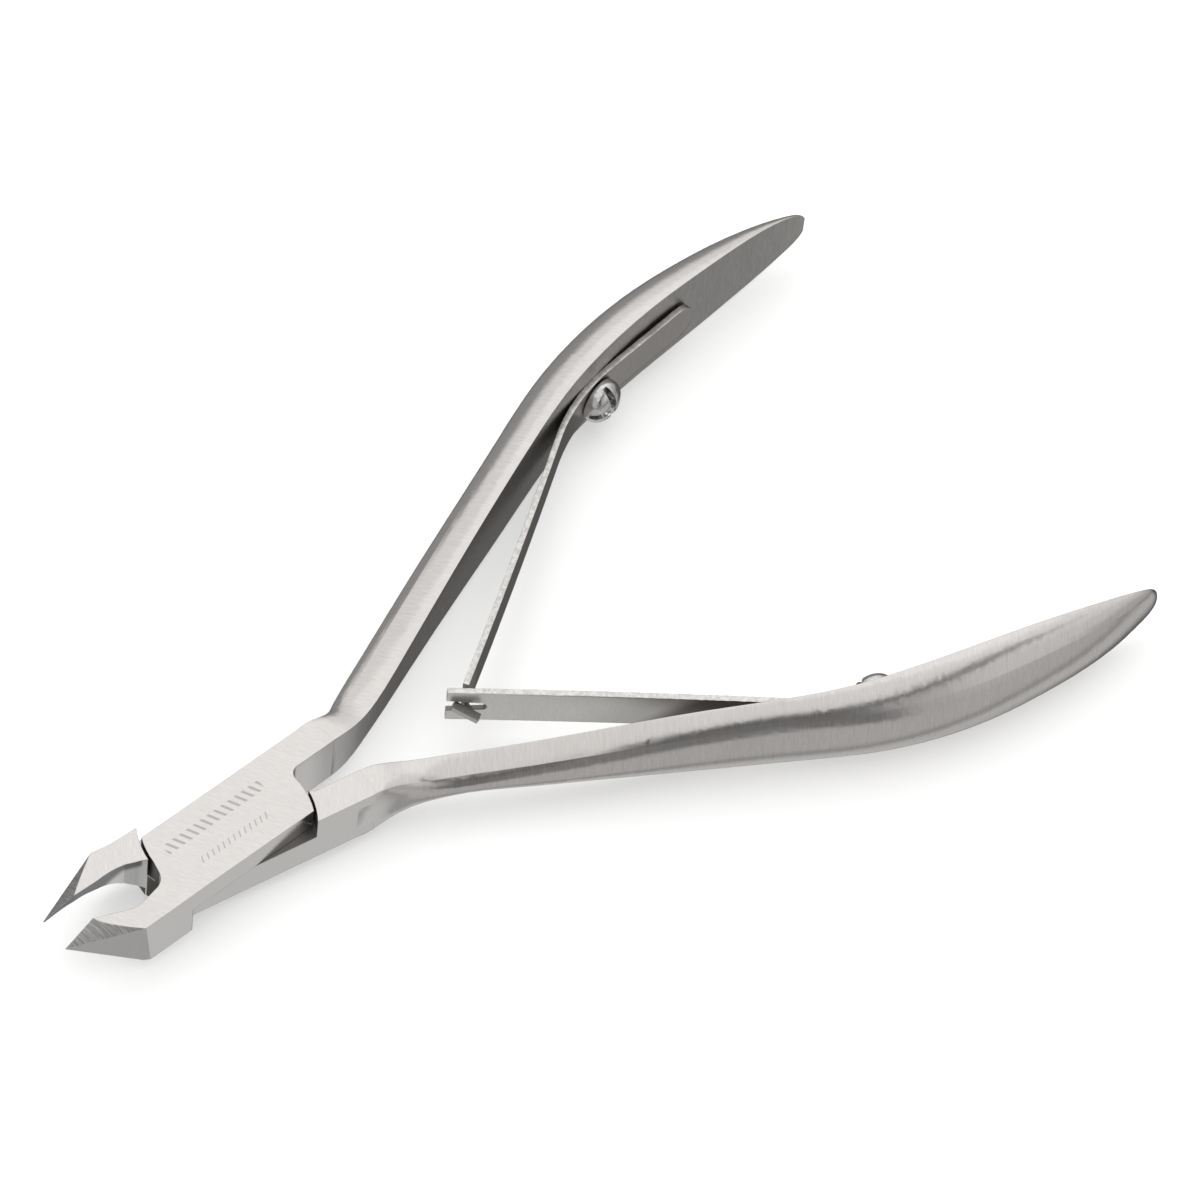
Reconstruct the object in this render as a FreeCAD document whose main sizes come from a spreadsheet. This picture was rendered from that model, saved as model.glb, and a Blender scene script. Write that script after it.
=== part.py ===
"""Cuticle nipper: two forged halves in a lap joint, a flush rivet, two leaf springs and their screws.

Row frame, millimetres. The origin is on the pivot axis at the joint's flat underside. +Z is the
pivot axis, the jaws point to -X and the handles to +X. The left half has its handle at +Y and the
upper lap plate. The right half has its handle at -Y and the lower lap plate.

Both halves are drawn as they lie when the nipper is closed, with the cutting edge on the X axis.
Each is then turned about Z by its rest angle, which is how far the springs hold it open. The left
half is side +1 and the right half is side -1, and side multiplies every y.
"""
import FreeCAD
import Part
import math
import os

Vector = FreeCAD.Vector
Rotation = FreeCAD.Rotation
Placement = FreeCAD.Placement
Z_AXIS = Vector(0, 0, 1)

doc = FreeCAD.newDocument("cuticle_nipper")
sheet = doc.addObject("Spreadsheet::Sheet", "Sizes")

SIZES = {
    # joint
    "joint_thickness": 5.5,
    "lap_height": 3.12,
    "lap_gap": 0.04,
    "half_width": 3.66,
    "plate_front_radius": 8.02,
    "plate_rear_radius": 7.18,
    "shoulder_front_radius": 8.3,
    "shoulder_rear_radius": 7.42,
    "rest_left": 4.9,
    "rest_right": 5.2,
    # rivet
    "rivet_radius": 1.75,
    "rivet_top": 4.7,
    "rivet_head_radius": 2.6,
    "rivet_head_depth": 0.85,
    "running_clearance": 0.03,
    "fixed_clearance": 0.01,
    # jaws
    "tip_reach": 18.75,
    "tip_height": 3.62,
    "edge_corner": 15.7,
    "edge_gap": 0.01,
    "toe_start": 12.7,
    # neck
    "neck_inner": 0.8,
    "neck_end": 12.4,
    # leaf springs
    "strip_thickness": 0.55,
    "strip_width": 4.0,
    "strip_height": 3.0,
    "arm_angle": 31.3,
    "arm_bow": 0.12,
    "root_angle": 5.0,
    "bend_radius": 20.0,
    "bend_x": 54.18,
    "bend_y": 15.62,
    "hinge_x": 50.0,
    "tail_x": 69.9,
    "tail_round": 1.8,
    "hinge_gap": 0.04,
    "fork_reach": 1.3,
    "fork_slot": 1.3,
    "fork_slot_length": 4.3,
    "shoulder_back": 0.65,
    "foot_neck": 0.8,
    "foot_start": 0.38,
    "foot_offset": 0.55,
    "foot_drop": 0.1,
    "foot_bar_length": 2.6,
    "foot_bar_width": 0.8,
    "foot_twist": 70.0,
    # screws
    "screw_lean": 10.6,
    "left_screw_height": 2.65,
    "right_screw_height": 3.5,
    "screw_hole_radius": 1.1,
    "screw_shank_radius": 1.0,
    "screw_shank_length": 3.2,
    "screw_seat_gap": 0.12,
    "screw_head_radius": 2.15,
    "screw_head_height": 2.0,
    "screw_dome_radius": 2.75,
    "cross_width": 0.55,
    "cross_length": 3.0,
    "cross_depth": 0.8,
}

# Handle stations along the flat inner wall: x, y, height, depth of the outer side, lift of the
# section's middle above the joint's middle, and squareness (2 is an ellipse, 60 is a rectangle).
STATIONS = [
    (10.60, 0.80, 5.50, 2.86, 0.00, 60.0),
    (12.90, 0.82, 5.44, 2.84, 0.00, 24.0),
    (14.80, 1.00, 4.70, 3.02, 0.00, 5.0),
    (16.68, 1.46, 3.80, 3.45, 0.00, 2.5),
    (19.27, 2.31, 3.48, 3.74, 0.10, 2.0),
    (23.42, 3.96, 3.99, 3.77, 0.15, 2.0),
    (28.62, 6.05, 4.93, 3.78, 0.25, 2.0),
    (34.85, 8.49, 6.27, 3.78, 0.40, 2.0),
    (41.08, 10.88, 7.40, 3.78, 0.48, 2.0),
    (47.31, 13.26, 8.00, 3.85, 0.50, 2.0),
    (53.50, 15.29, 8.55, 4.14, 0.50, 2.0),
    (59.63, 16.50, 9.12, 4.40, 0.48, 2.0),
    (65.71, 17.19, 9.20, 4.31, 0.40, 2.0),
    (71.77, 17.60, 8.60, 3.75, 0.28, 2.0),
    (76.81, 17.94, 7.69, 2.85, 0.12, 2.0),
    (80.84, 18.12, 6.40, 1.78, 0.00, 2.0),
    (83.20, 18.12, 4.95, 1.08, 0.00, 2.0),
    (84.60, 18.07, 3.45, 0.66, 0.00, 2.0),
    (85.20, 18.04, 1.80, 0.34, 0.00, 2.0),
]

# Hollow ground into the jaws from below: x, half width at the bottom, height of its roof.
HOLLOW = [
    (-20.2, 0.12, 2.2),
    (-18.9, 0.22, 3.3),
    (-17.2, 1.05, 4.15),
    (-15.7, 1.78, 4.6),
    (-13.6, 2.55, 4.35),
    (-12.2, 2.95, 3.85),
    (-10.8, 3.0, 3.05),
    (-9.6, 2.85, 2.15),
    (-8.4, 2.6, 1.1),
]

# Top border of each jaw, as x and distance from the X axis: outer corner, one point of the ground
# bevel between it and the cutting edge, and the inner edge's points behind the cutting edge.
JAWS = {
    1: {
        "corner": (-12.86, 3.70),
        "bevel": (-14.46, 1.98),
        "inner": [(-13.0, 1.17), (-12.1, 1.46), (-11.1, 1.42), (-9.5, 1.12)],
    },
    -1: {
        "corner": (-12.3, 3.1),
        "bevel": (-14.1, 1.55),
        "inner": [(-13.2, 0.38), (-11.3, 0.66), (-10.3, 0.64), (-9.4, 0.42)],
    },
}

for row, (alias, value) in enumerate(SIZES.items(), start=1):
    sheet.set(f"A{row}", alias)
    sheet.set(f"B{row}", str(value))
    sheet.setAlias(f"B{row}", alias)
doc.recompute()


def size(alias):
    """Value of one dimension in the sheet."""
    return float(getattr(sheet, alias))


def bind(obj, **expressions):
    """Drive an object's properties from the sheet."""
    for prop, expression in expressions.items():
        obj.setExpression(prop, expression)


def cylinder(name, radius, height, base=Vector(), turn=Rotation(), angle=360):
    """Cylinder from two sheet expressions."""
    obj = doc.addObject("Part::Cylinder", name)
    obj.Angle = angle
    obj.Placement = Placement(base, turn)
    bind(obj, Radius=radius, Height=height)
    return obj


def box(name, length, width, height, base, turn=Rotation()):
    """Box from three plain sizes, with one corner at base."""
    obj = doc.addObject("Part::Box", name)
    obj.Length, obj.Width, obj.Height = length, width, height
    obj.Placement = Placement(base, turn)
    return obj


def fuse(name, shapes):
    obj = doc.addObject("Part::MultiFuse", name)
    obj.Shapes = shapes
    return obj


def cut(name, base, tool):
    obj = doc.addObject("Part::Cut", name)
    obj.Base, obj.Tool = base, tool
    return obj


def common(name, first, second):
    obj = doc.addObject("Part::Common", name)
    obj.Base, obj.Tool = first, second
    return obj


def sketch(name, geometry, placement=Placement()):
    obj = doc.addObject("Sketcher::SketchObject", name)
    obj.Placement = placement
    obj.addGeometry(geometry, False)
    return obj


def extrude(name, profile, length):
    """Solid prism of a plan sketch, its height a sheet expression."""
    obj = doc.addObject("Part::Extrusion", name)
    obj.Base = profile
    obj.DirMode = "Custom"
    obj.Dir = Z_AXIS
    obj.Solid = True
    bind(obj, LengthFwd=length)
    return obj


def loft(name, sections):
    obj = doc.addObject("Part::Loft", name)
    obj.Sections = sections
    obj.Solid = True
    return obj


def line(start, end):
    return Part.LineSegment(Vector(*start, 0), Vector(*end, 0))


def arc(start, middle, end):
    return Part.Arc(Vector(*start, 0), Vector(*middle, 0), Vector(*end, 0))


def curve(points):
    """Smooth open curve through plan points."""
    spline = Part.BSplineCurve()
    spline.interpolate([Vector(x, y, 0) for x, y in points])
    return spline


def polar(radius, degrees):
    angle = math.radians(degrees)
    return (radius * math.cos(angle), radius * math.sin(angle))


def rest_turn(side):
    """Turn from the closed pose to the rest pose, in degrees."""
    return size("rest_left") if side > 0 else -size("rest_right")


def turned(obj, side, label):
    """Turn a finished piece from the closed pose to the rest pose and name it."""
    angle = "Sizes.rest_left" if side > 0 else "-Sizes.rest_right"
    axis_turn = f"create(<<rotation>>; create(<<vector>>; 0; 0; 1); {angle})"
    obj.setExpression("Placement", f"create(<<placement>>; create(<<vector>>; 0; 0; 0); {axis_turn})")
    obj.Label = label
    return obj


def plan_outline(side):
    """Closed plan outline of jaw, lap plate and neck."""
    jaw = JAWS[side]
    gap = size("edge_gap")
    width = size("half_width")
    front = size("plate_front_radius")
    rear = size("plate_rear_radius")
    neck = size("neck_inner")
    end = size("neck_end")
    tip = (-size("tip_reach"), -gap)
    cutting_corner = (-size("edge_corner"), -gap)
    inner = [(x, -y) for x, y in jaw["inner"]]
    corner = (jaw["corner"][0], -jaw["corner"][1])
    throat = (-8.3, -0.12)
    front_start = polar(front, 172)
    front_end = polar(front, 180 - math.degrees(math.asin(width / front)))
    crotch = polar(rear, 0)
    rear_end = polar(rear, -math.degrees(math.asin(width / rear)))
    edges = [
        line(tip, cutting_corner),
        line(cutting_corner, inner[0]),
        arc(inner[0], inner[1], inner[2]),
        line(inner[2], inner[3]),
        arc(inner[3], (-8.66, inner[3][1] * 0.6), throat),
        line(throat, front_start),
        arc(front_start, polar(front, 162), front_end),
        line(front_end, (end, width)),
        line((end, width), (end, neck)),
        line((end, neck), (8.3, neck)),
        arc((8.3, neck), (7.52, 0.58), crotch),
        arc(crotch, polar(rear, -15), rear_end),
        line(rear_end, (-6.0, -width)),
        line((-6.0, -width), (-10.2, -jaw["corner"][1])),
        line((-10.2, -jaw["corner"][1]), corner),
        line(corner, tip),
    ]
    if side < 0:
        flip = FreeCAD.Matrix(1, 0, 0, 0, 0, -1, 0, 0, 0, 0, 1, 0, 0, 0, 0, 1)
        edges = [mirrored(edge, flip) for edge in edges]
    return edges


def mirrored(edge, flip):
    """The same line or arc on the other side of the X axis."""
    first = flip.multVec(edge.value(edge.FirstParameter))
    last = flip.multVec(edge.value(edge.LastParameter))
    if isinstance(edge, Part.LineSegment):
        return Part.LineSegment(first, last)
    middle = flip.multVec(edge.value((edge.FirstParameter + edge.LastParameter) / 2))
    return Part.Arc(first, middle, last)


def section(name, index, side):
    """One D-shaped handle section: flat inner wall, then top, outer and bottom curves."""
    x, y, height, depth, lift, power = STATIONS[index]
    before = STATIONS[max(index - 1, 0)]
    after = STATIONS[min(index + 1, len(STATIONS) - 1)]
    heading = math.atan2(after[1] - before[1], after[0] - before[0]) * (index > 0)
    half = height / 2
    corner = 0.5 ** (1 / power)
    steps = 6
    spread = [i / steps for i in range(steps + 1)]

    def far(t):
        return max(0.0, 1 - t**power) ** (1 / power)

    top = [(depth * corner * t, half * far(corner * t)) for t in spread]
    outer = [(depth * far(abs(t)), half * t) for t in (corner * (1 - 2 * s) for s in spread)]
    bottom = [(u, -v) for u, v in reversed(top)]
    outer[0], outer[-1] = top[-1], bottom[0]
    geometry = [
        line((0, -half), (0, half)),
        curve(top),
        curve(outer),
        curve(bottom),
    ]
    along = Vector(math.cos(heading), side * math.sin(heading), 0)
    outward = Vector(-side * along.y, along.x, 0) * side
    turn = Rotation(outward, Z_AXIS, outward.cross(Z_AXIS), "ZXY")
    middle = size("joint_thickness") / 2 + lift
    return sketch(name, geometry, Placement(Vector(x, side * y, middle), turn))


def handle(prefix, side):
    sections = [section(f"{prefix}_section_{i}", i, side) for i in range(len(STATIONS))]
    return loft(f"{prefix}_handle", sections)


def hollow(prefix):
    """Ground hollow under the cutting edges."""
    sections = []
    floor = -0.6
    for i, (x, half_width, roof) in enumerate(HOLLOW):
        rise = roof - floor
        angles = [math.pi * k / 12 for k in range(13)]
        arch = [(-half_width * math.cos(a), floor + rise * math.sin(a)) for a in angles]
        arch[0] = (-half_width, floor)
        arch[-1] = (half_width, floor)
        geometry = [curve(arch), line(arch[-1], arch[0])]
        turn = Rotation(Vector(0, 1, 0), Z_AXIS, Vector(1, 0, 0), "ZXY")
        sections.append(sketch(f"{prefix}_hollow_{i}", geometry, Placement(Vector(x, 0, 0), turn)))
    return loft(f"{prefix}_hollow", sections)


def bevel_cone(prefix, side):
    """Cone from the tip whose side is the ground bevel beside the cutting edge."""
    jaw = JAWS[side]
    top = size("joint_thickness")
    tip = Vector(-size("tip_reach"), 0, size("tip_height"))
    border = [(-size("edge_corner"), 0), jaw["bevel"], jaw["corner"]]
    rays = [(Vector(x, -side * y, top) - tip).normalize() for x, y in border]
    axis = (rays[0] - rays[1]).cross(rays[1] - rays[2]).normalize()
    if axis.x < 0:
        axis = axis * -1
    spread = axis.getAngle(rays[0])
    cone = doc.addObject("Part::Cone", f"{prefix}_bevel")
    cone.Radius1 = 0
    cone.Height = 200
    cone.Radius2 = 200 * math.tan(spread)
    cone.Placement = Placement(tip, Rotation(Z_AXIS, axis))
    return cone


def outer_slab(prefix, side):
    """Block outside the jaw's flat outer face, which leans in towards the bottom."""
    jaw = JAWS[side]
    tip = Vector(-size("tip_reach"), 0, size("tip_height"))
    upper = Vector(jaw["corner"][0], -side * jaw["corner"][1], size("joint_thickness"))
    lower = Vector(jaw["corner"][0] + 0.13, -side * (jaw["corner"][1] - 0.35), 0)
    along = (upper - tip).normalize()
    normal = along.cross(lower - tip).normalize()
    if normal.y * side > 0:
        normal = normal * -1
    across = normal.cross(along)
    turn = Rotation(along, across, normal, "ZXY")
    corner = tip - along * 10 - across * 15
    return box(f"{prefix}_outer_slab", 17.5, 30, 6, corner, turn)


def toe_block(prefix):
    """Block under the jaw: the underside rises straight from below the corner to the tip."""
    tip = Vector(-size("tip_reach"), 0, size("tip_height"))
    rise = math.degrees(math.atan2(size("tip_height"), size("tip_reach") - size("toe_start")))
    turn = Rotation(Vector(0, 1, 0), rise)
    corner = tip + turn.multVec(Vector(-3, -10, -8))
    return box(f"{prefix}_toe_block", 16, 20, 8, corner, turn)


def lap_recess(prefix, side):
    """Room for the other half's plate: two half discs, wider at the front."""
    low = Vector(0, 0, -1) if side > 0 else Vector(0, 0, size("lap_height") - size("lap_gap"))
    height = "Sizes.lap_height + 1" if side > 0 else "Sizes.joint_thickness"
    ahead = Rotation(Z_AXIS, 90)
    behind = Rotation(Z_AXIS, -90)
    front = cylinder(f"{prefix}_front_shoulder", "Sizes.shoulder_front_radius", height, low, ahead, 180)
    rear = cylinder(f"{prefix}_rear_shoulder", "Sizes.shoulder_rear_radius", height, low, behind, 180)
    return [front, rear]


def rivet_hole(prefix, side):
    """Blind hole in the upper plate, or countersunk running hole in the lower one."""
    if side > 0:
        return [cylinder(f"{prefix}_pin_hole", "Sizes.rivet_radius + Sizes.fixed_clearance",
                         "Sizes.rivet_top + Sizes.fixed_clearance")]
    hole = cylinder(f"{prefix}_pin_hole", "Sizes.rivet_radius + Sizes.running_clearance", "8",
                    Vector(0, 0, -1))
    sink = doc.addObject("Part::Cone", f"{prefix}_countersink")
    bind(sink, Radius1="Sizes.rivet_head_radius + Sizes.running_clearance",
         Radius2="Sizes.rivet_radius + Sizes.running_clearance", Height="Sizes.rivet_head_depth")
    return [hole, sink]


def heading_vector(degrees, side):
    """Unit vector in plan for an angle from +X, mirrored for the right side."""
    return Vector(math.cos(math.radians(degrees)), side * math.sin(math.radians(degrees)), 0)


def left_normal(degrees, side):
    """Unit vector in plan pointing from the strip to its handle."""
    return heading_vector(degrees + 90, side)


def bend_points(side):
    """Centre of the spring's bend, and the ends of the bend on the strip's middle line."""
    arm, root = size("arm_angle"), size("root_angle")
    reach = size("bend_radius") * math.tan(math.radians(arm - root) / 2)
    vertex = Vector(size("bend_x"), side * size("bend_y"), 0)
    start = vertex - heading_vector(arm, side) * reach
    end = vertex + heading_vector(root, side) * reach
    centre = end - left_normal(root, side) * size("bend_radius")
    return centre, start, end


def hinge_point(side):
    """Where the spring arm starts to flex, on the strip's middle line."""
    start = bend_points(side)[1]
    run = (size("hinge_x") - start.x) / math.cos(math.radians(size("arm_angle")))
    return start + heading_vector(size("arm_angle"), side) * run


def screw_frame(side):
    """Screw's placement: its axis points from the handle's wall through the strip, inwards."""
    lean = size("screw_lean")
    centre = bend_points(side)[0]
    seat = size("bend_radius") - size("strip_thickness") / 2 - size("screw_seat_gap")
    height = size("left_screw_height" if side > 0 else "right_screw_height")
    base = centre + left_normal(lean, side) * seat + Z_AXIS * height
    inward = left_normal(lean, side) * -1
    return Placement(base, Rotation(Z_AXIS.cross(inward), Z_AXIS, inward, "ZXY"))


def screw_hole(name, side, clearance, depth):
    frame = screw_frame(side)
    start = frame.multVec(Vector(0, 0, -depth))
    return cylinder(name, clearance, f"{depth} + 1", start, frame.Rotation)


def half(side, label):
    """One forging: jaw, lap plate, neck and handle in one piece."""
    prefix = "left" if side > 0 else "right"
    plan = sketch(f"{prefix}_plan", plan_outline(side))
    block = extrude(f"{prefix}_block", plan, "Sizes.joint_thickness")
    faced = common(f"{prefix}_faced", block, bevel_cone(prefix, side))
    forging = fuse(f"{prefix}_forging", [faced, handle(prefix, side)])
    depth = size("screw_shank_length") + 0.15
    bore = screw_hole(f"{prefix}_screw_bore", side, "Sizes.screw_shank_radius + Sizes.fixed_clearance",
                      depth)
    tools = [hollow(prefix), outer_slab(prefix, side), toe_block(prefix), bore]
    tools += lap_recess(prefix, side) + rivet_hole(prefix, side)
    cutters = fuse(f"{prefix}_cutters", tools)
    return turned(cut(f"{prefix}_half", forging, cutters), side, label)


def rivet():
    pin = cylinder("rivet_pin", "Sizes.rivet_radius", "Sizes.rivet_top")
    head = doc.addObject("Part::Cone", "rivet_head")
    bind(head, Radius1="Sizes.rivet_head_radius", Radius2="Sizes.rivet_radius",
         Height="Sizes.rivet_head_depth")
    body = fuse("rivet_body", [pin, head])
    body.Label = "pivot_rivet"
    return body


def leaf_root(side, label):
    """The part of the spring strip that is clamped to the handle."""
    prefix = "left" if side > 0 else "right"
    half_strip = size("strip_thickness") / 2
    arm, root = size("arm_angle"), size("root_angle")
    centre, start, end = bend_points(side)
    hinge = hinge_point(side)
    run = (size("tail_x") - end.x) / math.cos(math.radians(root))
    tail = end + heading_vector(root, side) * run

    def faces(sign):
        shift = half_strip * sign
        turn = (arm + root) / 2
        middle = centre + left_normal(turn, side) * (size("bend_radius") + shift)
        points = [hinge + left_normal(arm, side) * shift, start + left_normal(arm, side) * shift,
                  middle, end + left_normal(root, side) * shift, tail + left_normal(root, side) * shift]
        return points

    outer = faces(1)
    inner = faces(-1)
    geometry = [
        Part.LineSegment(outer[0], outer[1]),
        Part.Arc(outer[1], outer[2], outer[3]),
        Part.LineSegment(outer[3], outer[4]),
        Part.LineSegment(outer[4], inner[4]),
        Part.LineSegment(inner[4], inner[3]),
        Part.Arc(inner[3], inner[2], inner[1]),
        Part.LineSegment(inner[1], inner[0]),
        Part.LineSegment(inner[0], outer[0]),
    ]
    low = size("strip_height") - size("strip_width") / 2
    plan = sketch(f"{prefix}_root_plan", geometry, Placement(Vector(0, 0, low), Rotation()))
    strip = extrude(f"{prefix}_root_strip", plan, "Sizes.strip_width")
    knuckle = cylinder(f"{prefix}_root_knuckle", "Sizes.strip_thickness / 2 + Sizes.hinge_gap", "12",
                       Vector(hinge.x, hinge.y, -3))
    hole = screw_hole(f"{prefix}_root_hole", side, "Sizes.screw_hole_radius", 2.0)
    cutters = fuse(f"{prefix}_root_cutters", [knuckle, hole] + tail_corners(prefix, tail, root, side))
    return turned(cut(f"{prefix}_leaf_root", strip, cutters), side, label)


def tail_corners(prefix, tail, angle, side):
    """Two cutters that round the strip's tail, one at each edge."""
    radius = size("tail_round")
    reach = 1.0
    turn = Rotation(Z_AXIS, side * angle)
    cutters = []
    for name, edge, inward in (("top", 1, -1), ("bottom", -1, 1)):
        z = size("strip_height") + edge * size("strip_width") / 2
        corner = tail - heading_vector(angle, side) * radius + Z_AXIS * (z + inward * radius)
        low = min(0, edge * (radius + reach))
        block = box(f"{prefix}_tail_{name}_block", radius + reach, 4, radius + reach,
                    corner + turn.multVec(Vector(0, -2, 0)) + Z_AXIS * low, turn)
        across = Rotation(Vector(0, 1, 0), Vector(0, 0, 1)).inverted()
        round_off = cylinder(f"{prefix}_tail_{name}_round", "Sizes.tail_round", "6",
                             corner + turn.multVec(Vector(0, -3, 0)), turn.multiply(across))
        cutters.append(cut(f"{prefix}_tail_{name}", block, round_off))
    return cutters


def crossing(side):
    """Distance along the arm from its flexing point to where the two strips cross at rest."""
    hinge = hinge_point(side)
    rest = math.radians(abs(rest_turn(side)))
    height = hinge.x * math.sin(rest) + abs(hinge.y) * math.cos(rest)
    return height / math.sin(rest + math.radians(size("arm_angle")))


def arm_placement(side):
    """Placement of an arm drawn along +X from its flexing point, at rest."""
    rest = Rotation(Z_AXIS, rest_turn(side))
    point = rest.multVec(hinge_point(side))
    turn = side * (180 + size("arm_angle")) + rest_turn(side)
    return Placement(point + Z_AXIS * size("strip_height"), Rotation(Z_AXIS, turn))


def arm_strip(prefix, length, side):
    """Slightly bowed strip with a rounded end at its flexing point. It bows away from its handle."""
    thickness, width = size("strip_thickness"), size("strip_width")
    bow = side * size("arm_bow")
    lower, upper = -thickness / 2, thickness / 2
    geometry = [
        arc((0, lower), (length / 2, lower + bow), (length, lower)),
        line((length, lower), (length, upper)),
        arc((length, upper), (length / 2, upper + bow), (0, upper)),
        line((0, upper), (0, lower)),
    ]
    plan = sketch(f"{prefix}_arm_plan", geometry, Placement(Vector(0, 0, -width / 2), Rotation()))
    strip = extrude(f"{prefix}_arm_strip", plan, "Sizes.strip_width")
    knuckle = cylinder(f"{prefix}_arm_knuckle", "Sizes.strip_thickness / 2", "Sizes.strip_width",
                       Vector(0, 0, -width / 2))
    return [strip, knuckle]


def foot_arm(label):
    """Left spring arm: the strip narrows to a neck and ends in a twisted T foot."""
    side = 1
    thickness = size("strip_thickness")
    length = crossing(side)
    neck_start = length - size("shoulder_back")
    foot_start = length + size("foot_start")
    neck = box("foot_neck", foot_start - neck_start + 0.4, thickness, size("foot_neck"),
               Vector(neck_start - 0.2, -thickness / 2, -size("foot_neck") / 2))
    bind(neck, Height="Sizes.foot_neck")
    twist = Rotation(Vector(1, 0, 0), size("foot_twist"))
    corner = twist.multVec(Vector(0, -thickness / 2, -size("foot_bar_length") / 2))
    corner += Vector(0, size("foot_offset"), -size("foot_drop"))
    bar = box("foot_bar", size("foot_bar_width"), thickness, size("foot_bar_length"),
              corner + Vector(foot_start, 0, 0), twist)
    bind(bar, Length="Sizes.foot_bar_width", Height="Sizes.foot_bar_length")
    arm = fuse("left_leaf_arm", arm_strip("left", neck_start, side) + [neck, bar])
    arm.Placement = arm_placement(side)
    arm.Label = label
    return arm


def fork_arm(label):
    """Right spring arm: the strip ends in two tines with an open slot between them."""
    side = -1
    length = crossing(side) + size("fork_reach")
    slot_start = length - size("fork_slot_length") + size("fork_slot") / 2
    strip = fuse("right_arm_body", arm_strip("right", length, side))
    slot = box("fork_slot", 10, 4, size("fork_slot"), Vector(slot_start, -2, -size("fork_slot") / 2))
    bind(slot, Height="Sizes.fork_slot")
    slot_end = cylinder("fork_slot_end", "Sizes.fork_slot / 2", "4", Vector(slot_start, 2, 0),
                        Rotation(Vector(1, 0, 0), 90))
    arm = cut("right_leaf_arm", strip, fuse("fork_cutters", [slot, slot_end]))
    arm.Placement = arm_placement(side)
    arm.Label = label
    return arm


def screw(side, label):
    """Domed screw with a cross recess. Its head points along its own +Z."""
    prefix = "left" if side > 0 else "right"
    radius = size("screw_head_radius")
    head = cylinder(f"{prefix}_screw_rim", "Sizes.screw_head_radius", "Sizes.screw_head_height")
    ball = doc.addObject("Part::Sphere", f"{prefix}_screw_ball")
    ball.Placement.Base = Vector(0, 0, size("screw_head_height") - size("screw_dome_radius"))
    bind(ball, Radius="Sizes.screw_dome_radius")
    dome = common(f"{prefix}_screw_dome", head, ball)
    shank = cylinder(f"{prefix}_screw_shank", "Sizes.screw_shank_radius", "Sizes.screw_shank_length + 0.2",
                     Vector(0, 0, -size("screw_shank_length")))
    body = fuse(f"{prefix}_screw_body", [dome, shank])
    length, width, depth = size("cross_length"), size("cross_width"), size("cross_depth")
    floor = size("screw_head_height") - depth
    slots = []
    for i in range(2):
        turn = Rotation(Z_AXIS, 90 * i + 20)
        corner = turn.multVec(Vector(-length / 2, -width / 2, 0)) + Z_AXIS * floor
        slots.append(box(f"{prefix}_cross_{i}", length, width, radius, corner, turn))
    result = cut(f"{prefix}_screw", body, fuse(f"{prefix}_cross", slots))
    rest = Placement(Vector(), Rotation(Z_AXIS, rest_turn(side)))
    result.Placement = rest.multiply(screw_frame(side))
    result.Label = label
    return result


NODES = [
    half(1, "left_half"),
    half(-1, "right_half"),
    rivet(),
    leaf_root(1, "left_leaf_root"),
    leaf_root(-1, "right_leaf_root"),
    foot_arm("left_leaf_arm"),
    fork_arm("right_leaf_arm"),
    screw(1, "left_spring_screw"),
    screw(-1, "right_spring_screw"),
]

doc.recompute()
for obj in doc.Objects:
    bad = [state for state in obj.State if state in ("Invalid", "Error")]
    if bad:
        raise RuntimeError(f"{obj.Name}: {bad}")
    if hasattr(obj, "Shape") and (obj.Shape.isNull() or not obj.Shape.isValid()):
        raise RuntimeError(f"{obj.Name}: no valid shape")

os.makedirs("parts", exist_ok=True)
for node in NODES:
    if len(node.Shape.Solids) != 1:
        raise RuntimeError(f"{node.Label}: {len(node.Shape.Solids)} solids")
    node.Shape.exportStep(f"parts/{node.Label}.step")
    box_mm = node.Shape.BoundBox
    print(node.Label, round(node.Shape.Volume, 3), "mm3", [round(v, 2) for v in (
        box_mm.XMin, box_mm.XMax, box_mm.YMin, box_mm.YMax, box_mm.ZMin, box_mm.ZMax)])
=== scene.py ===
"""Cuticle nipper: satin forged halves, leaf springs and screws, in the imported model's frame.

Sizes are in millimetres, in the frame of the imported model, and MM turns them into metres. A side is 1 for
the left half, whose handle is at +Y, and -1 for the right half. Angles are in degrees unless said.
"""

from collections import namedtuple
import math
import random

import bmesh
import bpy
from mathutils import Matrix, Vector


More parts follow.
